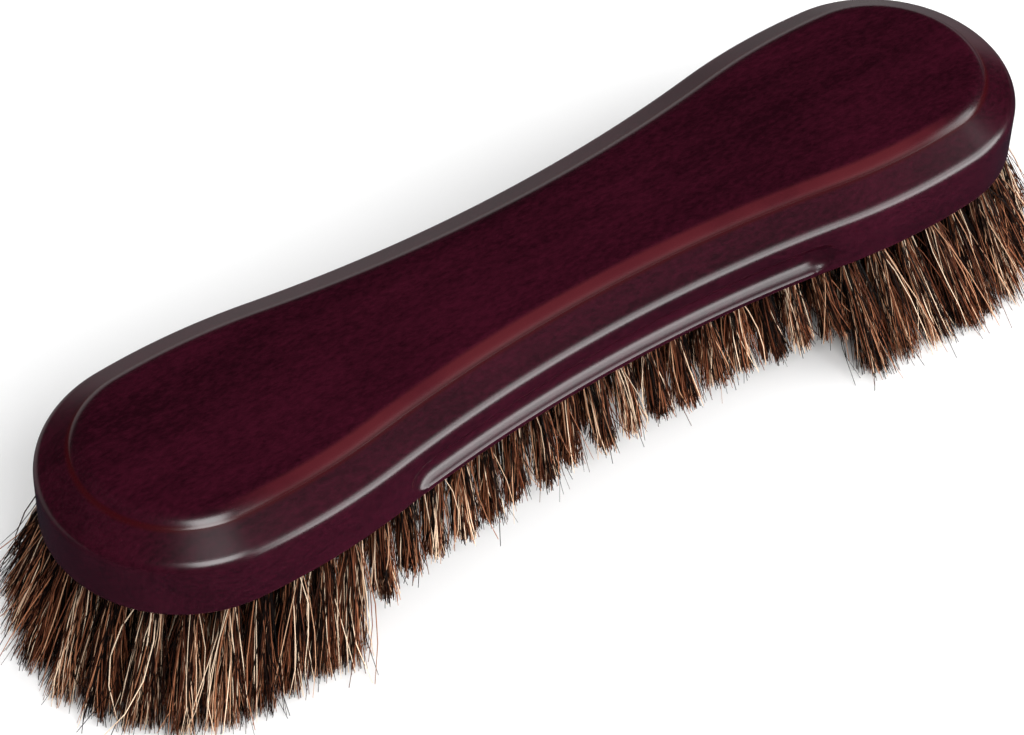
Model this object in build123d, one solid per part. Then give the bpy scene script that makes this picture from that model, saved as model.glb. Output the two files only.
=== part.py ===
from build123d import *
import math
import os

# A nine-inch horsehair brush: one hourglass block of hardwood, moulded round its top edge and grooved
# along both sides, and tufts of hair that are folded round wire anchors and pressed into blind holes.
# The tufts are trimmed long at both ends and short in the middle.
# Millimetres. X runs along the brush, Y across it, +Z up. The origin is the middle of the plane that
# the long tufts stand on. The brush is the same on both sides of Y = 0. It is the same on both sides of
# X = 0 too, except that the long tufts begin nearer to the middle at the toe (+X) than at the heel.

# Outline of the block, seen from above
LENGTH = 230.0
WAIST_WIDTH = 44.0
END_WIDTH = 57.0
CAP_RADIUS = 28.2  # the round end
SIDE_RADIUS = 142.0  # the gentle bulge between the round end and the waist

# Edge of the block, seen in section
WALL = 10.7  # height of the upright side
SHOULDER_RADIUS = 3.2  # the roll from the side over onto the bevel
BEVEL_SLOPE = 30.5  # degrees
BEVEL_INSET = 6.9  # from the side in to the crease where the bevel ends
TOP_RADIUS = 5.2  # the roll from the crease up to the flat top
TOP_TURN = 50.0  # degrees: the roll is steepest at the crease
BOTTOM_ROUND = 0.6
RIM = 12.5  # width of the moulded rim around the plain core of the block

# Finger groove along each side of the waist
GROOVE_RADIUS = 4.1
GROOVE_DEPTH = 2.3
GROOVE_HEIGHT = 5.1  # of its centreline, above the underside
GROOVE_HALF_LENGTH = 46.5  # to where the cutter begins to leave the side
RUNOUT_RADIUS = 10.0
RUNOUT_TURN = 50.0  # degrees

# Hair
LONG_HAIR = 28.0  # free length at the ends
SHORT_HAIR = 17.5  # free length in the middle
HEEL_FROM = 62.0  # the tufts further than this behind the middle are long
TOE_FROM = 56.0  # the tufts further than this ahead of the middle are long
LEAN_ACROSS = 16.5  # degrees that the outermost tufts lean sideways
LEAN_ALONG = 17.5  # degrees that the last tufts lean lengthways
TUFT_ROOT_RADIUS = 1.75
FLARE = 0.045  # growth of a tuft's radius for each millimetre of its length

# Holes, and the flat wire anchors that hold the folded hair in them
HOLE_RADIUS = 2.3
HOLE_DEPTH = 9.0
EDGE_TO_ROW = 4.5  # from the side of the block in to the outer row of holes
ROW_STEP = 6.5
PITCH = 7.0  # between neighbours along a row
CORE_COLUMNS = 13  # columns of tufts inside the second row, on each side of the middle
ANCHOR_LENGTH = 4.5
ANCHOR_WIDTH = 1.6
ANCHOR_THICKNESS = 0.4
SEAT_GAP = 0.05  # between a tuft and its anchor
MOUTH = 1.0  # how far a cutter starts outside the wood

# Worked out from the sizes above
UNDERSIDE = LONG_HAIR
BEVEL_RADIANS = math.radians(BEVEL_SLOPE)
BEVEL_X = SHOULDER_RADIUS * (1 - math.sin(BEVEL_RADIANS))
BEVEL_Z = UNDERSIDE + WALL + SHOULDER_RADIUS * math.cos(BEVEL_RADIANS)
CREASE_Z = BEVEL_Z + (BEVEL_INSET - BEVEL_X) * math.tan(BEVEL_RADIANS)
TOP = CREASE_Z + TOP_RADIUS * (1 - math.cos(math.radians(TOP_TURN)))
BULGE = (END_WIDTH - WAIST_WIDTH) / 2
CAP_X = LENGTH / 2 - CAP_RADIUS
SIDE_Y = END_WIDTH / 2 - SIDE_RADIUS
SIDE_X = CAP_X - math.sqrt((SIDE_RADIUS - CAP_RADIUS) ** 2 - SIDE_Y**2)
WAIST_RADIUS = (SIDE_X**2 + BULGE**2) / (2 * BULGE) - SIDE_RADIUS
WAIST_Y = WAIST_WIDTH / 2 + WAIST_RADIUS
CAP_TURN = math.degrees(math.atan2(-SIDE_Y, CAP_X - SIDE_X))
WAIST_TURN = math.degrees(math.asin(SIDE_X / (WAIST_RADIUS + SIDE_RADIUS)))
LAST_TUFT_X = LENGTH / 2 - EDGE_TO_ROW
UP = Vector(0, 0, 1)


def quarter(inset):
    """The outline from the middle of the waist round to the tip of the cap, moved in by inset."""
    side_start = 90 + WAIST_TURN
    waist = CenterArc((0, WAIST_Y), WAIST_RADIUS + inset, -90, WAIST_TURN)
    side = CenterArc((SIDE_X, SIDE_Y), SIDE_RADIUS - inset, side_start, CAP_TURN - side_start)
    cap = CenterArc((CAP_X, 0), CAP_RADIUS - inset, CAP_TURN, -CAP_TURN)
    return [waist, side, cap]


def both_ways(shapes):
    """The shapes and their mirror images across both middle planes."""
    half = shapes + [shape.mirror(Plane.XZ) for shape in shapes]
    return half + [shape.mirror(Plane.YZ) for shape in half]


def half_width(x, inset):
    """Half the width at x of the outline moved in by inset."""
    x = abs(x)
    waist, side, cap = quarter(inset)
    if x < (waist @ 1).X:
        return WAIST_Y - math.sqrt(waist.radius**2 - x**2)
    if x < (side @ 1).X:
        return SIDE_Y + math.sqrt(side.radius**2 - (x - SIDE_X) ** 2)
    return math.sqrt(max(cap.radius**2 - (x - CAP_X) ** 2, 0))


def rim_section():
    """The moulded rim in section: X runs in from the side of the block, Y is the height."""
    bottom = JernArc((BOTTOM_ROUND, UNDERSIDE), (-1, 0), BOTTOM_ROUND, -90)
    wall = Line(bottom @ 1, (0, UNDERSIDE + WALL))
    shoulder = JernArc(wall @ 1, (0, 1), SHOULDER_RADIUS, BEVEL_SLOPE - 90)
    bevel = Line(shoulder @ 1, (BEVEL_INSET, CREASE_Z))
    steepest = Vector(1, 0).rotate(Axis.Z, TOP_TURN)
    roll = JernArc(bevel @ 1, steepest, TOP_RADIUS, -TOP_TURN)
    inside = Polyline(roll @ 1, (RIM, TOP), (RIM, UNDERSIDE), bottom @ 0)
    return make_face([bottom, wall, shoulder, bevel, roll, inside])


def rim_quarter():
    """The section turned about the centre of each arc of a quarter of the outline."""
    section = rim_section()
    parts = []
    for arc, turn in zip(quarter(0), (1, -1, -1)):
        along = arc % 0
        place = Plane(origin=arc @ 0, x_dir=along.cross(UP), z_dir=-along)
        axis = Axis(arc.arc_center, UP * turn)
        parts.append(revolve(place * section, axis, math.degrees(arc.length / arc.radius)))
    return parts


def groove():
    """What the ball-nosed cutter takes from one side: along the waist, then out in a tighter arc."""
    path_radius = WAIST_RADIUS - GROOVE_RADIUS + GROOVE_DEPTH
    turn = math.degrees(math.asin(GROOVE_HALF_LENGTH / path_radius))
    along = CenterArc((0, WAIST_Y), path_radius, -90, turn)
    out = JernArc(along @ 1, along % 1, RUNOUT_RADIUS, RUNOUT_TURN)
    section = Plane(origin=along @ 0, x_dir=UP, z_dir=along % 0) * Circle(GROOVE_RADIUS)
    first = revolve(section, Axis(along.arc_center, UP), turn)
    section = Plane(origin=out @ 0, x_dir=UP, z_dir=out % 0) * Circle(GROOVE_RADIUS)
    second = revolve(section, Axis(out.arc_center, UP), RUNOUT_TURN)
    return [Pos(0, 0, UNDERSIDE + GROOVE_HEIGHT) * shape for shape in (first, second)]


def downwards(x, y):
    """The direction in which the tuft at x, y leans out of the block: a fan along and across."""
    across = y / half_width(min(abs(x), SIDE_X), EDGE_TO_ROW)
    along = x / LAST_TUFT_X
    lean_x = math.tan(math.radians(LEAN_ALONG)) * along
    lean_y = math.tan(math.radians(LEAN_ACROSS)) * across
    return Vector(lean_x, lean_y, -1).normalized()


def tuft_plane(x, y):
    """The mouth of the hole at x, y: its Z axis runs up the hole, its X axis lies across the brush."""
    up = downwards(x, y) * -1
    return Plane(origin=(x, y, UNDERSIDE), x_dir=Vector(0, 1, 0).cross(up).cross(up), z_dir=up)


def ring_places(inset):
    """Evenly spaced places round a closed row, as (x, y)."""
    path = Wire(quarter(inset))
    count = round(path.length / PITCH)
    spots = [path @ ((i + 0.5) / count) for i in range(count)]
    return [(sx * p.X, sy * p.Y) for p in spots for sx in (1, -1) for sy in (1, -1)]


def core_places():
    """Places inside the second row, in columns across the brush, as (x, y)."""
    inset = EDGE_TO_ROW + ROW_STEP
    places = []
    for column in range(CORE_COLUMNS):
        x = (column + 0.5) * PITCH
        reach = half_width(x, inset)
        gaps = round(2 * reach / ROW_STEP)
        for k in range(1, gaps):
            y = -reach + 2 * reach * k / gaps
            places += [(x, y), (-x, y)]
    return places


def block(places):
    """The wooden block: core and rim in one, less the finger grooves and a blind hole for each tuft."""
    core = extrude(make_face(both_ways(quarter(RIM))), TOP - UNDERSIDE)
    solid = (Pos(0, 0, UNDERSIDE) * core).fuse(*both_ways(rim_quarter()))
    drill = Pos(0, 0, (HOLE_DEPTH - MOUTH) / 2) * Cylinder(HOLE_RADIUS, HOLE_DEPTH + MOUTH)
    holes = [tuft_plane(x, y) * drill for x, y in places]
    return solid - both_ways(groove()) - holes


def zone(x):
    """The stretch of the brush that a tuft is in."""
    if x < -HEEL_FROM:
        return "heel"
    return "toe" if x > TOE_FROM else "waist"


def tuft(x, y):
    """One tuft: a slender cone that widens from its anchor to its trimmed, level tips."""
    foot = HOLE_DEPTH - ANCHOR_WIDTH - SEAT_GAP
    level = LONG_HAIR - SHORT_HAIR if zone(x) == "waist" else 0
    reach = foot + 1.2 * LONG_HAIR
    cone = Cone(TUFT_ROOT_RADIUS + FLARE * reach, TUFT_ROOT_RADIUS, reach)
    leaning = tuft_plane(x, y) * Pos(0, 0, foot - reach / 2) * cone
    return split(leaning, bisect_by=Plane.XY.offset(level), keep=Keep.TOP)


def anchor(x, y):
    """The flat wire across the bottom of the hole, on edge."""
    wire = Box(ANCHOR_THICKNESS, ANCHOR_LENGTH, ANCHOR_WIDTH)
    return tuft_plane(x, y) * Pos(0, 0, HOLE_DEPTH - ANCHOR_WIDTH / 2) * wire


def side(y):
    """The side of the brush that a tuft is on."""
    return "left" if y > 0 else "right"


def rows():
    """Every place for a tuft, gathered under the name of its row."""
    named = {}
    rings = {"outer": ring_places(EDGE_TO_ROW), "second": ring_places(EDGE_TO_ROW + ROW_STEP)}
    for ring, places in rings.items():
        for x, y in places:
            named.setdefault(f"{zone(x)}_{ring}_{side(y)}", []).append((x, y))
    for x, y in core_places():
        named.setdefault(f"{zone(x)}_core", []).append((x, y))
    return named


os.makedirs("parts", exist_ok=True)
named_rows = rows()
every_place = [place for places in named_rows.values() for place in places]
export_step(block(every_place), "parts/brush_block.step")
for name, places in named_rows.items():
    export_step(Compound([tuft(x, y) for x, y in places]), f"parts/tufts_{name}.step")
    export_step(Compound([anchor(x, y) for x, y in places]), f"parts/anchors_{name}.step")
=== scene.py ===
import math

import bmesh
import bpy
import numpy as np
from mathutils import Matrix, Vector


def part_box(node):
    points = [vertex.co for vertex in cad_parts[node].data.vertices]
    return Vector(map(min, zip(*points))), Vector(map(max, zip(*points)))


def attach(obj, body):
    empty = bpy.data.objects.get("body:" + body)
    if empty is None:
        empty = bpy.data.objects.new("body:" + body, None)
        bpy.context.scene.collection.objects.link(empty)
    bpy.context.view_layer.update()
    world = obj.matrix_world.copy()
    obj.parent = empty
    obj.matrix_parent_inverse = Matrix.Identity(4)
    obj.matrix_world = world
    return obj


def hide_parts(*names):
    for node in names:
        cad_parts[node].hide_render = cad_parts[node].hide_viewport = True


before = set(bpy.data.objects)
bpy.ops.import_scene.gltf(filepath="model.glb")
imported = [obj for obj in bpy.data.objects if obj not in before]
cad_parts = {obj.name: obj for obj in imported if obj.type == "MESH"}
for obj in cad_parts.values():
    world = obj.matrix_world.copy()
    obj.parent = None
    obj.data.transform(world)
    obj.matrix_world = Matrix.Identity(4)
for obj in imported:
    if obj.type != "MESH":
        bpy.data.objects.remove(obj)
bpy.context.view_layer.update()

# A horsehair clothes brush. The wooden block is made again as one smooth lacquered skin on the lines of its
# CAD solid, and every CAD tuft becomes a bundle of single hairs. The wire anchors keep their CAD solids.

MM = 0.001
RNG = np.random.default_rng(20)

# The block: its heights and widths come from the frame
BLOCK_LOW, BLOCK_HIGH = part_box("brush_block")
UNDERSIDE = BLOCK_LOW.z
TOP = BLOCK_HIGH.z
WALL_TOP = UNDERSIDE + 10.7 * MM
HALF_LENGTH = BLOCK_HIGH.x
HALF_END = BLOCK_HIGH.y
HALF_WAIST = 22.0 * MM
CAP_RADIUS = 28.2 * MM
SIDE_RADIUS = 142.0 * MM
SHOULDER_RADIUS = 3.2 * MM
BEVEL_SLOPE = math.radians(30.5)
TOP_RADIUS = 5.2 * MM
TOP_TURN = math.radians(50.0)
CREASE = TOP - TOP_RADIUS * (1 - math.cos(TOP_TURN))
BOTTOM_ROUND = 0.6 * MM

# How finely the skin is divided: the length of a step round the outline, the number of steps along each
# stretch of the section and on to the spine, and the shares of the bevel at which it has a row of points
OUTLINE_STEP = 0.66 * MM
BOTTOM_STEPS, WALL_STEPS, SHOULDER_STEPS, ROLL_STEPS = 5, 35, 11, 13
BEVEL_STEPS = (0.06, 0.3, 0.55, 0.8, 0.95, 1.0)
FLAT_STEPS = 4

# Finger grooves: each edge is a little soft, and SOFT_TAIL is as far outside the edge as that reaches
GROOVE_RADIUS = 4.1 * MM
GROOVE_DEPTH = 2.3 * MM
GROOVE_HEIGHT = UNDERSIDE + 5.1 * MM
GROOVE_HALF_LENGTH = 46.5 * MM
RUNOUT_RADIUS = 10.0 * MM
RUNOUT_REACH = 0.98 * RUNOUT_RADIUS
GROOVE_SOFTNESS = 0.12 * MM
SOFT_TAIL = 1.5 * MM

# Holes for the tufts
HOLE_RADIUS = 2.3 * MM
HOLE_DEPTH = 9.0 * MM
MOUTH = 1.0 * MM
HOLE_SIDES = 24

# Outline: the round ends, the bulging sides and the hollow waist are arcs that meet smoothly
CAP_X = HALF_LENGTH - CAP_RADIUS
SIDE_Y = HALF_END - SIDE_RADIUS
SIDE_X = CAP_X - math.sqrt((SIDE_RADIUS - CAP_RADIUS) ** 2 - SIDE_Y**2)
BULGE = HALF_END - HALF_WAIST
WAIST_RADIUS = (SIDE_X**2 + BULGE**2) / (2 * BULGE) - SIDE_RADIUS
WAIST_Y = HALF_WAIST + WAIST_RADIUS
CAP_TURN = math.atan2(-SIDE_Y, CAP_X - SIDE_X)
WAIST_TURN = math.asin(SIDE_X / (WAIST_RADIUS + SIDE_RADIUS))

# Where the parts of the block lie on its texture map: each starts at a height of its own. The wall is four
# strips, one for each quarter of the outline, and the holes stand in rows.
MAP_SPAN = 240.0 * MM
TOP_BAND, UNDER_BAND, WALL_BAND, HOLE_BAND = 0.0, 0.25, 0.5, 0.8
WALL_STRIP = 0.07
QUARTER_SHARE = 0.65
HOLES_IN_ROW = 20
HOLE_ROW = 0.018

# Hair, for each row: hairs in a tuft and straight pieces in a hair
ROWS = {"outer": (300, 5), "second": (260, 5), "core": (150, 4)}
HAIR_RADIUS = (0.08 * MM, 0.155 * MM)
TIP_TAPER = 0.45
LONG_HAIR = UNDERSIDE
BUNDLE_RADIUS = 2.0 * MM
HELD_DEPTH = 2.5 * MM

# Every tuft falls apart into a few locks, and some of its hairs stray. CROSSING is how far across the
# middle of its lock a hair reaches, as a share of its offset in the hole. BOW and SWAY set how far a hair
# bends off its straight line, in one curve and in two.
LOCKS = 9
LOCK_SPREAD = 3.1 * MM
HAIR_SPREAD = 1.25 * MM
CROSSING = 0.15
STRAY_SHARE = 0.12
STRAY_LOOSENESS = 1.5
BOW = 2.2 * MM
SWAY = 0.25 * MM

# How unevenly the ends are trimmed, hair by hair, lock by lock and tuft by tuft
HAIR_TRIM, LOCK_TRIM, TUFT_TRIM = 0.35 * MM, 0.5 * MM, 0.4 * MM
LOWEST_TIP = 0.15 * MM
LOCK_TONE = 0.12

# The texture map of the hair: a cell for each hair, eight times as tall as it is wide
MAP_CELL_SHAPE = 8
MAP_CELL_GAP = 0.1

# How much more than its CAD tuft the hair leans in each zone, along and across the brush
SPLAY = {"heel": (0.0, -0.20), "waist": (0.0, 0.05), "toe": (-0.12, 0.20)}

# Linear colours on the lacquered wood: the rubbed roll, painted a lighter red on the near side as a painted
# sheen, the painted shade along the crease at its foot, and the specks of dust
WORN_AND_SHEEN_COLOUR = (0.062, 0.0088, 0.0120)
PAINTED_CREASE_SHADE = (0.030, 0.0008, 0.0025)
DUST = (0.30, 0.16, 0.13)


# ---------------------------------------------------------------- meshes


def as_object(mesh, name):
    """A new object in the scene from a bmesh."""
    data = bpy.data.meshes.new(name)
    mesh.to_mesh(data)
    mesh.free()
    piece = bpy.data.objects.new(name, data)
    bpy.context.collection.objects.link(piece)
    return piece


def islands(node):
    """The points of each solid of a CAD node, as a list of arrays."""
    mesh = bmesh.new()
    mesh.from_mesh(bpy.data.objects[node].data)
    bmesh.ops.remove_doubles(mesh, verts=mesh.verts, dist=0.001 * MM)
    found, seen = [], set()
    for start in mesh.verts:
        if start in seen:
            continue
        seen.add(start)
        reached = [start]
        for vert in reached:
            for edge in vert.link_edges:
                other = edge.other_vert(vert)
                if other not in seen:
                    seen.add(other)
                    reached.append(other)
        found.append(np.array([vert.co for vert in reached]))
    mesh.free()
    return found


def unit(vectors):
    """The vectors, each scaled to length 1."""
    return vectors / np.linalg.norm(vectors, axis=-1, keepdims=True)


def middle(points):
    """The middle of the box round the points."""
    return (points.min(axis=0) + points.max(axis=0)) / 2


def tuft_axes(node):
    """For each tuft of a CAD node, the middle of its folded end in the block and of its trimmed tips."""
    axes = []
    for points in islands(node):
        height = points[:, 2]
        tip = middle(points[height < height.min() + 0.01 * MM])
        reach = points @ unit(middle(points[height > height.max() - 1.5 * MM]) - tip)
        axes.append((middle(points[reach > reach.max() - 0.1 * MM]), tip))
    return axes


# ---------------------------------------------------------------- the block


def outline():
    """Points round the block and the inward normal at each, in four mirrored quarters."""
    arcs = [
        ((0, WAIST_Y), WAIST_RADIUS, -math.pi / 2, WAIST_TURN - math.pi / 2, 1),
        ((SIDE_X, SIDE_Y), SIDE_RADIUS, math.pi / 2 + WAIST_TURN, CAP_TURN, -1),
        ((CAP_X, 0), CAP_RADIUS, CAP_TURN, 0, -1),
    ]
    points, normals = [], []
    for (x, y), radius, start, end, inward in arcs:
        count = round(radius * abs(end - start) / OUTLINE_STEP)
        for angle in start + (end - start) * (np.arange(count) + 0.5) / count:
            ray = np.array([math.cos(angle), math.sin(angle)])
            points.append(np.array([x, y]) + radius * ray)
            normals.append(inward * ray)
    points, normals = np.array(points), np.array(normals)
    for mirror in (np.array([1, -1]), np.array([-1, 1])):
        points = np.vstack([points, points[::-1] * mirror])
        normals = np.vstack([normals, normals[::-1] * mirror])
    return points, normals


def arc_points(centre, radius, start, end, count):
    """Points along an arc, without its first point."""
    angles = start + (end - start) * np.arange(1, count + 1) / count
    return [(centre[0] + radius * math.cos(a), centre[1] + radius * math.sin(a)) for a in angles]


def profile():
    """The edge of the block in section, from the underside up over the moulding, as (inset, height)."""
    right = math.pi / 2
    points = [(BOTTOM_ROUND, UNDERSIDE)]
    centre = (BOTTOM_ROUND, UNDERSIDE + BOTTOM_ROUND)
    points += arc_points(centre, BOTTOM_ROUND, -right, -math.pi, BOTTOM_STEPS)
    points[-1] = (0, points[-1][1])
    points += [(0, z) for z in np.linspace(points[-1][1], WALL_TOP, WALL_STEPS + 1)[1:]]
    centre = (SHOULDER_RADIUS, WALL_TOP)
    points += arc_points(centre, SHOULDER_RADIUS, math.pi, right + BEVEL_SLOPE, SHOULDER_STEPS)
    x, z = points[-1]
    points += [(x + (CREASE - z) * t / math.tan(BEVEL_SLOPE), z + (CREASE - z) * t) for t in BEVEL_STEPS]
    x, z = points[-1]
    centre = (x + TOP_RADIUS * math.sin(TOP_TURN), TOP - TOP_RADIUS)
    points += arc_points(centre, TOP_RADIUS, right + TOP_TURN, right, ROLL_STEPS)
    return points


def groove_depth(x, z):
    """How far the finger groove goes into the side, at x along the brush and at height z."""
    out = np.clip(np.abs(x) - GROOVE_HALF_LENGTH, 0, RUNOUT_REACH)
    lift = RUNOUT_RADIUS - np.sqrt(RUNOUT_RADIUS**2 - out**2)
    reach = np.sqrt(max(GROOVE_RADIUS**2 - (z - GROOVE_HEIGHT) ** 2, 0))
    depth = reach - (GROOVE_RADIUS - GROOVE_DEPTH) - lift
    softened = (depth + np.sqrt(depth**2 + GROOVE_SOFTNESS**2)) / 2
    return np.where(depth > -SOFT_TAIL, softened, 0)


def block_rows():
    """The block's surface as closed rows of points, from the spine of the underside to that of the top."""
    points, normals = outline()
    rows = []
    for inset, z in profile():
        if inset == 0:
            inset = groove_depth(points[:, 0], z)[:, None]
        flat = points + normals * inset
        rows.append(np.column_stack([flat, np.full(len(flat), z)]))
    spine = np.column_stack([np.clip(points[:, 0], -CAP_X, CAP_X), np.zeros(len(points))])
    for steps_left in range(FLAT_STEPS, 0, -1):
        under, over = rows[0].copy(), rows[-1].copy()
        for row in (under, over):
            row[:, :2] += (spine - row[:, :2]) / steps_left
        rows = [under] + rows + [over]
    return rows


def block_skin():
    """The block without its holes."""
    rows = block_rows()
    columns = len(rows[0])
    quarter = columns // 4
    mesh = bmesh.new()
    chart = mesh.loops.layers.uv.new("OFBake")
    verts = [[mesh.verts.new(point) for point in row] for row in rows]
    for low, high in zip(verts, verts[1:]):
        height = (low[0].co.z + high[0].co.z) / 2
        for i in range(columns):
            j = (i + 1) % columns
            face = mesh.faces.new((low[i], low[j], high[j], high[i]))
            strip, place = divmod(i, quarter)
            for loop, step in zip(face.loops, (0, 1, 1, 0)):
                x, y, z = loop.vert.co
                if UNDERSIDE + BOTTOM_ROUND / 2 < height < WALL_TOP + SHOULDER_RADIUS / 2:
                    u = QUARTER_SHARE * (place + step) / quarter
                    v = WALL_BAND + WALL_STRIP * strip + (z - UNDERSIDE) / MAP_SPAN
                else:
                    u = 0.5 + x / MAP_SPAN
                    v = (y + HALF_END) / MAP_SPAN + (TOP_BAND if height > WALL_TOP else UNDER_BAND)
                loop[chart].uv = (u, v)
    bmesh.ops.remove_doubles(mesh, verts=mesh.verts, dist=0.001 * MM)
    bmesh.ops.recalc_face_normals(mesh, faces=mesh.faces)
    return as_object(mesh, "block_skin")


def hole_cutters(axes):
    """What the drill takes out: a leaning cylinder for each tuft."""
    mesh = bmesh.new()
    chart = mesh.loops.layers.uv.new("OFBake")
    for k, (root, tip) in enumerate(axes):
        root, tip = Vector(root), Vector(tip)
        up = (root - tip).normalized()
        mouth = tip + up * (UNDERSIDE - tip.z) / up.z
        side = up.cross(Vector((0, 1, 0))).normalized()
        front = up.cross(side)
        rings = []
        for depth in (-MOUTH, HOLE_DEPTH):
            ring = []
            for i in range(HOLE_SIDES):
                angle = 2 * math.pi * i / HOLE_SIDES
                ray = side * math.cos(angle) + front * math.sin(angle)
                ring.append(mesh.verts.new(mouth + up * depth + ray * HOLE_RADIUS))
            rings.append(ring)
        low, high = rings
        faces = [mesh.faces.new((low[i - 1], low[i], high[i], high[i - 1])) for i in range(HOLE_SIDES)]
        faces += [mesh.faces.new(low[::-1]), mesh.faces.new(high)]
        row, column = divmod(k, HOLES_IN_ROW)
        for i, face in enumerate(faces):
            face.material_index = 1
            for n, loop in enumerate(face.loops):
                if i < HOLE_SIDES:
                    u = (i + (n in (1, 2))) / (HOLE_SIDES + 2)
                    v = 0.45 * (n in (2, 3))
                else:
                    offset = (loop.vert.co - mouth) / HOLE_RADIUS
                    u = 0.5 + 0.4 * offset.dot(side)
                    v = 0.72 + 0.2 * offset.dot(front)
                loop[chart].uv = ((column + u) / HOLES_IN_ROW, HOLE_BAND + HOLE_ROW * (row + v))
    bmesh.ops.recalc_face_normals(mesh, faces=mesh.faces)
    return as_object(mesh, "hole_cutters")


def drilled(block, cutters):
    """Cuts the holes out of the block and leaves plain mesh, smooth but for its real edges."""
    cut = block.modifiers.new("holes", "BOOLEAN")
    cut.operation = "DIFFERENCE"
    cut.solver = "MANIFOLD"
    cut.object = cutters
    for holder in (block, cutters):
        for material in (LACQUERED_WOOD, BARE_WOOD):
            holder.data.materials.append(material)
    view = bpy.context.evaluated_depsgraph_get()
    whole = block.data
    block.data = bpy.data.meshes.new_from_object(block.evaluated_get(view))
    block.modifiers.clear()
    bpy.data.meshes.remove(whole)
    bpy.data.objects.remove(cutters)
    block.data.shade_smooth()
    block.data.set_sharp_from_angle(angle=math.radians(40))


# ---------------------------------------------------------------- hair


def disc(count, radius):
    """Random offsets across a round bundle, as (count, 3) with no height."""
    angle = RNG.uniform(0, 2 * math.pi, count)
    reach = radius * np.sqrt(RNG.uniform(0, 1, count))
    return np.column_stack([reach * np.cos(angle), reach * np.sin(angle), np.zeros(count)])


def sideways(count, sizes):
    """Random level vectors with the given standard deviations."""
    vectors = RNG.normal(0, 1, (count, 3)) * np.reshape(sizes, (-1, 1))
    vectors[:, 2] = 0
    return vectors


def tuft_hairs(root, tip, zone, count, pieces):
    """The middle lines of a tuft's hairs, as (count, pieces + 1, 3), and the tone of each hair."""
    axis = unit(root - tip)
    mouth = tip + axis * (UNDERSIDE - tip[2]) / axis[2]
    along, across = SPLAY[zone]
    tip = tip + (tip - mouth) * np.array([along, across, 0])
    loose = (UNDERSIDE - tip[2]) / LONG_HAIR
    wild = 1 + STRAY_LOOSENESS * (RNG.uniform(0, 1, count) < STRAY_SHARE)
    held = disc(count, BUNDLE_RADIUS)
    lock = RNG.integers(0, LOCKS, count)
    ends = -CROSSING * held + (disc(LOCKS, LOCK_SPREAD) * loose**0.5)[lock]
    ends += sideways(count, HAIR_SPREAD * loose * wild)
    trim = RNG.normal(0, HAIR_TRIM, count) * wild
    trim += RNG.normal(0, LOCK_TRIM, LOCKS)[lock] + RNG.normal(0, TUFT_TRIM)
    ends[:, 2] = np.abs(trim) if tip[2] < MM else trim
    bow = sideways(count, BOW * loose * wild)
    sway = sideways(count, SWAY * loose)
    path = [mouth + axis * HELD_DEPTH + held]
    for step in np.linspace(0.02, 1, pieces):
        line = mouth + held + (tip + ends - mouth - held) * step
        path.append(line + bow * step * (1 - step) + sway * math.sin(2 * math.pi * step))
    path = np.stack(path, axis=1)
    path[:, :, 2] = np.maximum(path[:, :, 2], LOWEST_TIP)
    tone = RNG.uniform(0, 1, count) + RNG.normal(0, LOCK_TONE, LOCKS)[lock]
    return path, np.clip(tone, 0, 1)


def tubes(paths, thick):
    """Three-sided closed tubes along the paths: corner points (hairs, rings, 3, 3)."""
    ahead = np.empty_like(paths)
    ahead[:, 1:-1] = paths[:, 2:] - paths[:, :-2]
    ahead[:, 0] = paths[:, 1] - paths[:, 0]
    ahead[:, -1] = paths[:, -1] - paths[:, -2]
    ahead = unit(ahead)
    side = unit(np.cross(ahead, np.array([0.0, 1.0, 0.0])))
    front = np.cross(ahead, side)
    turn = RNG.uniform(0, 2 * math.pi, (len(paths), 1, 1, 1))
    turn = turn + 2 * math.pi * np.arange(3).reshape(1, 1, 3, 1) / 3
    along = np.linspace(0, 1, paths.shape[1])
    girth = thick[:, None] * (1 - TIP_TAPER * along**3)
    ray = side[:, :, None] * np.cos(turn) + front[:, :, None] * np.sin(turn)
    return paths[:, :, None] + ray * girth[:, :, None, None]


def hair_faces(hairs, rings):
    """Corner numbers of the sides of all tubes as quads, and of their two end caps as triangles."""
    base = (np.arange(hairs) * rings * 3).reshape(-1, 1, 1)
    level = (np.arange(rings - 1) * 3).reshape(1, -1, 1)
    edge = np.arange(3).reshape(1, 1, -1)
    after = (edge + 1) % 3
    low, high = base + level, base + level + 3
    quads = np.stack([low + edge, low + after, high + after, high + edge], -1)
    first = base.reshape(-1, 1) + np.array([[2, 1, 0]])
    last = base.reshape(-1, 1) + (rings - 1) * 3 + np.array([[0, 1, 2]])
    return quads.reshape(-1, 4), np.vstack([first, last])


def hair_map(hairs, rings):
    """Places of the face corners on the texture map: each hair has a narrow cell of its own."""
    across = math.ceil(math.sqrt(hairs * MAP_CELL_SHAPE))
    down = math.ceil(hairs / across)
    row, column = np.divmod(np.arange(hairs), across)
    left = ((column + MAP_CELL_GAP) / across).reshape(-1, 1, 1)
    right = ((column + 1 - MAP_CELL_GAP) / across).reshape(-1, 1, 1)
    bottom = ((row + MAP_CELL_GAP / 4) / down).reshape(-1, 1, 1)
    tall = (1 - MAP_CELL_GAP / 2) / down
    level = np.arange(rings - 1).reshape(1, -1, 1)
    low = bottom + tall * level / (rings - 1)
    high = bottom + tall * (level + 1) / (rings - 1)
    shape = (hairs, rings - 1, 3)
    corners = [(left, low), (right, low), (right, high), (left, high)]
    quads = [np.stack([np.broadcast_to(u, shape), np.broadcast_to(v, shape)], -1) for u, v in corners]
    quads = np.stack(quads, -2)
    left, right, bottom = left.ravel(), right.ravel(), bottom.ravel()
    caps = []
    for end, inwards in ((0, 0.1), (1, -0.1)):
        v = bottom + tall * end
        corners = [(left, v), (right, v), ((left + right) / 2, v + tall * inwards)]
        caps.append(np.stack([np.stack(corner, -1) for corner in corners], -2))
    return quads.reshape(-1, 2), np.vstack(caps).reshape(-1, 2)


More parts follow.
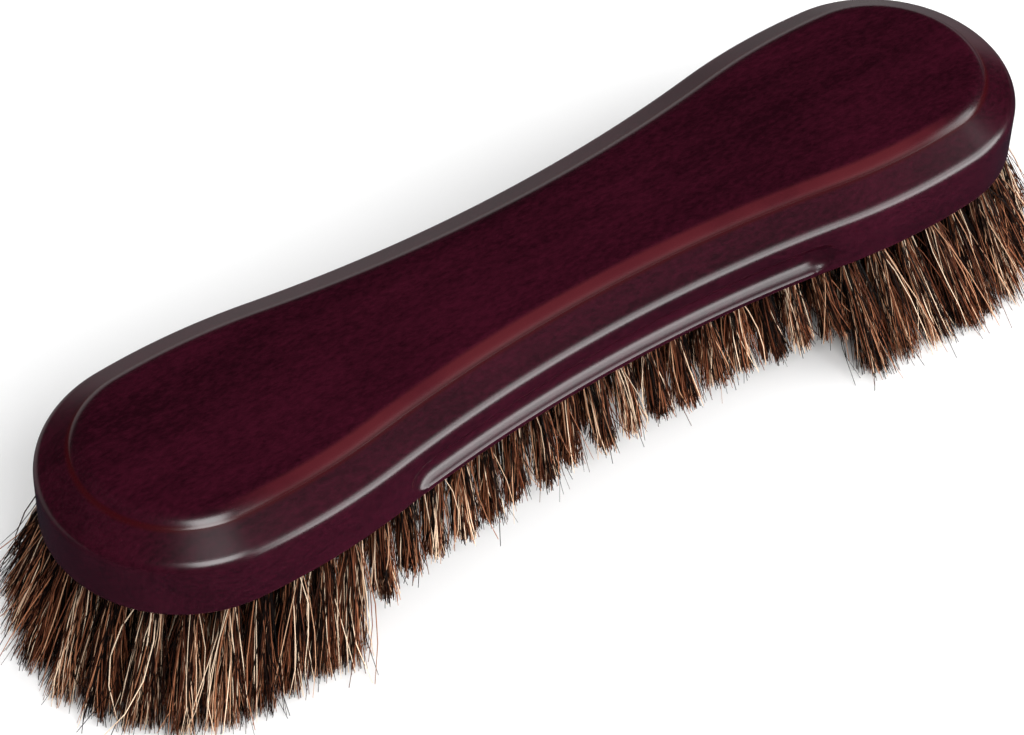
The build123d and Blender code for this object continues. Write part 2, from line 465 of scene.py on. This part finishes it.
def hair_piece(name, axes, zone, row, material):
    """One object with every hair of a row of tufts."""
    count, pieces = ROWS[row]
    grown = [tuft_hairs(np.array(root), np.array(tip), zone, count, pieces) for root, tip in axes]
    paths = np.concatenate([path for path, tone in grown])
    tone = np.concatenate([tone for path, tone in grown])
    hairs, rings = paths.shape[:2]
    points = tubes(paths, RNG.uniform(*HAIR_RADIUS, hairs))
    quads, caps = hair_faces(hairs, rings)
    data = bpy.data.meshes.new(name)
    data.vertices.add(points.size // 3)
    data.vertices.foreach_set("co", points.astype(np.float32).ravel())
    corners = np.concatenate([quads.ravel(), caps.ravel()])
    data.loops.add(len(corners))
    data.loops.foreach_set("vertex_index", corners.astype(np.int32))
    starts = np.concatenate([np.arange(len(quads)) * 4, quads.size + np.arange(len(caps)) * 3])
    data.polygons.add(len(starts))
    data.polygons.foreach_set("loop_start", starts.astype(np.int32))
    data.update(calc_edges=True)
    data.validate()
    chart = data.uv_layers.new(name="OFBake")
    chart.data.foreach_set("uv", np.concatenate(hair_map(hairs, rings)).astype(np.float32).ravel())
    along = np.linspace(0, 1, rings)
    for label, values in (("tone", tone[:, None] + 0 * along), ("along", 0 * tone[:, None] + along)):
        layer = data.attributes.new(label, "FLOAT", "POINT")
        layer.data.foreach_set("value", np.repeat(values.ravel(), 3).astype(np.float32))
    data.shade_smooth()
    data.materials.append(material)
    piece = bpy.data.objects.new(name, data)
    bpy.context.collection.objects.link(piece)
    return piece


# ---------------------------------------------------------------- materials


def shader(name):
    """A new material: its node tree and its Principled shader."""
    material = bpy.data.materials.new(name)
    material.use_nodes = True
    return material, material.node_tree, material.node_tree.nodes["Principled BSDF"]


def add(tree, kind, inputs=None, **settings):
    """A new node with the given settings, whose inputs take a value or another node's output."""
    node = tree.nodes.new(kind)
    for key, value in settings.items():
        setattr(node, key, value)
    for key, value in (inputs or {}).items():
        if isinstance(value, bpy.types.NodeSocket):
            tree.links.new(value, node.inputs[key])
        else:
            node.inputs[key].default_value = value
    return node


def ramp(tree, factor, stops):
    """A colour ramp's output: stops are (position, linear colour)."""
    node = add(tree, "ShaderNodeValToRGB", {"Fac": factor})
    elements = node.color_ramp.elements
    while len(elements) < len(stops):
        elements.new(0.5)
    for element, (position, colour) in zip(elements, stops):
        element.position = position
        element.color = (*colour, 1)
    return node.outputs["Color"]


def place(tree):
    """The point that is being shaded, in metres from the origin."""
    return add(tree, "ShaderNodeTexCoord").outputs["Object"]


def place_xyz(tree):
    """The three coordinates of the point that is being shaded."""
    return add(tree, "ShaderNodeSeparateXYZ", {"Vector": place(tree)}).outputs


def grain(tree, scale, detail):
    """Noise drawn out along the brush: scale is its fineness along, across and up, per metre."""
    stretched = add(tree, "ShaderNodeMapping", {"Vector": place(tree), "Scale": scale}).outputs["Vector"]
    noise = {"Vector": stretched, "Scale": 1.0, "Detail": detail, "Roughness": 0.55, "Distortion": 0.3}
    return add(tree, "ShaderNodeTexNoise", noise).outputs["Fac"]


def between(tree, value, low, high):
    """The value, brought from 0 to 1 into the range from low to high."""
    limits = {"Value": value, "To Min": low, "To Max": high}
    return add(tree, "ShaderNodeMapRange", limits).outputs["Result"]


def fade(tree, value, start, end):
    """A smooth step from 0 to 1 as the value goes from start to end."""
    limits = {"Value": value, "From Min": start, "From Max": end}
    node = add(tree, "ShaderNodeMapRange", limits, interpolation_type="SMOOTHSTEP")
    return node.outputs["Result"]


def maths(tree, operation, *values):
    """The result of a math node."""
    return add(tree, "ShaderNodeMath", dict(enumerate(values)), operation=operation).outputs[0]


def bump(tree, height, strength, distance):
    """The normal of a surface with small bumps."""
    relief = {"Height": height, "Strength": strength, "Distance": distance}
    return add(tree, "ShaderNodeBump", relief).outputs["Normal"]


def blend(tree, factor, a, b):
    """The colour a, turning into the colour b as the factor goes from 0 to 1."""
    node = add(tree, "ShaderNodeMix", {"Factor": factor}, data_type="RGBA")
    for socket, colour in ((node.inputs[6], a), (node.inputs[7], b)):
        if isinstance(colour, bpy.types.NodeSocket):
            tree.links.new(colour, socket)
        else:
            socket.default_value = (*colour, 1)
    return node.outputs[2]


def specks(tree):
    """1 at a few scattered specks of dust, else 0."""
    dots = add(tree, "ShaderNodeTexVoronoi", {"Vector": place(tree), "Scale": 90.0, "Randomness": 1.0})
    near = maths(tree, "LESS_THAN", dots.outputs["Distance"], 0.022)
    pick = add(tree, "ShaderNodeSeparateColor", {"Color": dots.outputs["Color"]}).outputs["Red"]
    return maths(tree, "MULTIPLY", near, maths(tree, "GREATER_THAN", pick, 0.88))


def rubbed_and_sheen_roll(tree):
    """1 along the near side's roll, which a hand has rubbed dull and where a lighter red is painted as a
    sheen, else 0.
    """
    x, y, z = place_xyz(tree)
    above_crease = fade(tree, z, CREASE - 0.15 * MM, CREASE + 0.1 * MM)
    below_top = fade(tree, z, TOP - 0.02 * MM, TOP - 0.35 * MM)
    off_the_ends = fade(tree, maths(tree, "ABSOLUTE", x), 94 * MM, 78 * MM)
    near_side = fade(tree, y, 6 * MM, -6 * MM)
    rubbed = maths(tree, "MULTIPLY", above_crease, below_top)
    for share in (off_the_ends, near_side):
        rubbed = maths(tree, "MULTIPLY", rubbed, share)
    return rubbed


def crease_shade_line(tree):
    """1 along the crease at the foot of the roll, where a dark line of painted shade goes, else 0."""
    apart = maths(tree, "ABSOLUTE", maths(tree, "SUBTRACT", place_xyz(tree)["Z"], CREASE))
    return fade(tree, apart, 0.6 * MM, 0.1 * MM)


def lacquered_wood():
    """Dark mahogany stain under a satin lacquer, rubbed dull where a hand holds the roll, with a lighter
    red painted there as a sheen on the near side and a painted shade line along the crease at the roll's
    foot.
    """
    material, tree, out = shader("lacquered_wood")
    figure = grain(tree, (9, 130, 130), 5)
    mottle = grain(tree, (600, 1300, 1300), 2)
    cloud = grain(tree, (28, 40, 40), 3)
    pores = grain(tree, (120, 2600, 2600), 3)
    orange_peel = grain(tree, (420, 420, 420), 2)
    tone = maths(tree, "MULTIPLY_ADD", mottle, 0.4, maths(tree, "MULTIPLY", figure, 0.3))
    tone = maths(tree, "MULTIPLY_ADD", cloud, 0.3, tone)
    colour = ramp(tree, tone, [(0.38, (0.012, 0.0004, 0.0030)), (0.62, (0.033, 0.0018, 0.0082))])
    rubbed = rubbed_and_sheen_roll(tree)
    # Painted sheen: the rubbed roll on the near side is coloured a lighter red that stands in for the soft
    # highlight along it.
    worn_and_sheen = maths(tree, "MULTIPLY", rubbed, fade(tree, cloud, 0.1, 0.6))
    colour = blend(tree, worn_and_sheen, colour, WORN_AND_SHEEN_COLOUR)
    # Painted shade: a dark red line along the crease at the foot of the roll.
    colour = blend(tree, crease_shade_line(tree), colour, PAINTED_CREASE_SHADE)
    colour = blend(tree, specks(tree), colour, DUST)
    tree.links.new(colour, out.inputs["Base Color"])
    tree.links.new(between(tree, cloud, 0.45, 0.55), out.inputs["Roughness"])
    tree.links.new(between(tree, rubbed, 1.0, 0.15), out.inputs["Coat Weight"])
    tree.links.new(bump(tree, pores, 0.10, 0.05 * MM), out.inputs["Normal"])
    tree.links.new(bump(tree, orange_peel, 0.15, 0.02 * MM), out.inputs["Coat Normal"])
    out.inputs["Specular IOR Level"].default_value = 0.0
    out.inputs["Coat Roughness"].default_value = 0.23
    out.inputs["Coat IOR"].default_value = 1.5
    return material


def bare_wood():
    """The raw wood inside the drilled holes."""
    material, tree, out = shader("bare_wood")
    figure = grain(tree, (60, 900, 900), 4)
    colour = ramp(tree, figure, [(0.3, (0.16, 0.07, 0.035)), (0.7, (0.26, 0.13, 0.07))])
    tree.links.new(colour, out.inputs["Base Color"])
    out.inputs["Roughness"].default_value = 0.8
    return material


def horsehair():
    """Black, brown, chestnut and blond hairs, each of one colour, darkened towards the roots as painted
    shade under the block and lighter towards the tips.
    """
    material, tree, out = shader("horsehair")
    tone = add(tree, "ShaderNodeAttribute", attribute_name="tone").outputs["Fac"]
    along = add(tree, "ShaderNodeAttribute", attribute_name="along").outputs["Fac"]
    stops = [
        (0.00, (0.003, 0.002, 0.002)),
        (0.40, (0.010, 0.004, 0.003)),
        (0.57, (0.080, 0.020, 0.008)),
        (0.72, (0.215, 0.066, 0.029)),
        (0.84, (0.410, 0.170, 0.084)),
        (0.93, (0.670, 0.390, 0.235)),
        (1.00, (0.980, 0.740, 0.530)),
    ]
    colour = ramp(tree, tone, stops)
    # Painted shade: the colour's value runs from dark at the root, under the block, to a little above its
    # own at the tip.
    root_shade = {"Color": colour, "Value": between(tree, along, 0.30, 1.25)}
    colour = add(tree, "ShaderNodeHueSaturation", root_shade).outputs["Color"]
    tree.links.new(colour, out.inputs["Base Color"])
    out.inputs["Roughness"].default_value = 0.42
    out.inputs["Specular IOR Level"].default_value = 0.15
    return material


def anchor_wire():
    """Drawn steel wire."""
    material, tree, out = shader("anchor_wire")
    drawn = grain(tree, (800, 6000, 6000), 3)
    colour = ramp(tree, drawn, [(0.3, (0.42, 0.42, 0.43)), (0.7, (0.60, 0.60, 0.61))])
    tree.links.new(colour, out.inputs["Base Color"])
    tree.links.new(between(tree, drawn, 0.28, 0.45), out.inputs["Roughness"])
    out.inputs["Metallic"].default_value = 1.0
    return material


def pale_floor():
    """The plain, nearly white studio floor, which shows darker in reflections, most of all in front."""
    material, tree, out = shader("pale_floor")
    mirrored = add(tree, "ShaderNodeLightPath").outputs["Is Glossy Ray"]
    behind = fade(tree, place_xyz(tree)["Y"], 40 * MM, 120 * MM)
    in_reflections = blend(tree, behind, (0.030, 0.028, 0.038), (0.26, 0.24, 0.24))
    colour = blend(tree, mirrored, (0.92, 0.92, 0.92), in_reflections)
    tree.links.new(colour, out.inputs["Base Color"])
    out.inputs["Roughness"].default_value = 0.9
    out.inputs["Specular IOR Level"].default_value = 0.0
    return material


# ---------------------------------------------------------------- the brush

LACQUERED_WOOD = lacquered_wood()
BARE_WOOD = bare_wood()
HORSEHAIR = horsehair()
ANCHOR_WIRE = anchor_wire()

tuft_nodes = sorted(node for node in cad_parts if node.startswith("tufts_"))
anchor_nodes = sorted(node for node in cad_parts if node.startswith("anchors_"))
axes_of = {node: tuft_axes(node) for node in tuft_nodes}

block = block_skin()
drilled(block, hole_cutters([axis for axes in axes_of.values() for axis in axes]))
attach(block, "root")
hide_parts("brush_block")

for node, axes in axes_of.items():
    zone, row = node.split("_")[1:3]
    hair = hair_piece(node.replace("tufts", "hair"), axes, zone, row, HORSEHAIR)
    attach(hair, "root")
    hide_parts(node)

for node in anchor_nodes:
    for slot in bpy.data.objects[node].material_slots:
        slot.material = ANCHOR_WIRE


# ---------------------------------------------------------------- studio


def soft_light(name, place, target, size, power, mirrored=True):
    """A rectangular soft light at place that faces target, and that may stay out of reflections."""
    lamp = bpy.data.lights.new(name, "AREA")
    lamp.shape = "RECTANGLE"
    lamp.size, lamp.size_y = size
    lamp.energy = power
    holder = bpy.data.objects.new(name, lamp)
    holder.location = place
    holder.rotation_euler = (Vector(target) - Vector(place)).to_track_quat("-Z", "Y").to_euler()
    holder.visible_glossy = mirrored
    bpy.context.collection.objects.link(holder)


def floor(half_side):
    """A large plane under the hair tips."""
    mesh = bmesh.new()
    bmesh.ops.create_grid(mesh, x_segments=8, y_segments=8, size=half_side)
    plane = as_object(mesh, "studio_floor")
    plane.data.materials.append(pale_floor())
    return plane


def surroundings(seen, lit, mirrored):
    """A plain world: how bright it is to the camera, to matt surfaces and in reflections."""
    world = bpy.data.worlds.new("studio")
    world.use_nodes = True
    tree = world.node_tree
    rays = add(tree, "ShaderNodeLightPath")
    unseen = {"Factor": rays.outputs["Is Glossy Ray"], "A": lit, "B": mirrored}
    unseen = add(tree, "ShaderNodeMix", unseen).outputs[0]
    strength = {"Factor": rays.outputs["Is Camera Ray"], "A": unseen, "B": seen}
    strength = add(tree, "ShaderNodeMix", strength).outputs[0]
    tree.links.new(strength, tree.nodes["Background"].inputs["Strength"])
    tree.nodes["Background"].inputs["Color"].default_value = (1, 1, 1, 1)
    bpy.context.scene.world = world


def camera(aim, azimuth, elevation, roll, distance, lens):
    """The camera: azimuth 0 looks along +Y."""
    turn, rise = math.radians(azimuth), math.radians(elevation)
    back = Vector((math.sin(turn) * math.cos(rise), -math.cos(turn) * math.cos(rise), math.sin(rise)))
    right = Vector((math.cos(turn), math.sin(turn), 0))
    up = back.cross(right)
    lean = math.radians(roll)
    right, up = right * math.cos(lean) + up * math.sin(lean), up * math.cos(lean) - right * math.sin(lean)
    data = bpy.data.cameras.new("camera")
    data.lens = lens
    data.sensor_width = 36.0
    data.clip_start = 0.01
    holder = bpy.data.objects.new("camera", data)
    turned = Matrix((right, up, back)).transposed().to_4x4()
    holder.matrix_world = Matrix.Translation(Vector(aim) + back * distance) @ turned
    bpy.context.collection.objects.link(holder)
    bpy.context.scene.camera = holder


floor(3.0)

# Lights: place and target in metres, width and height in metres, and power in watts
soft_light("key", (0.80, -0.95, 0.60), (0, 0, 0.03), (1.3, 0.50), 10)
soft_light("low_key", (0.80, -0.95, 0.24), (0, 0, 0.03), (1.3, 0.30), 9)
soft_light("high_key", (0.75, -0.90, 0.93), (0, 0, 0.03), (1.3, 0.30), 1.8)
soft_light("overhead_left", (-0.25, -0.88, 1.0), (0, 0, 0), (0.58, 0.66), 12)
soft_light("back_left", (-0.80, 0.80, 1.1), (-0.2, 0.2, 0), (1.2, 1.0), 9, mirrored=False)
surroundings(seen=1.0, lit=0.52, mirrored=0.02)

bpy.context.scene.view_settings.view_transform = "Standard"
camera(
    aim=(-14.527 * MM, -6.961 * MM, 25.190 * MM),
    azimuth=-38.760,
    elevation=47.008,
    roll=1.927,
    distance=696.30 * MM,
    lens=123.803,
)
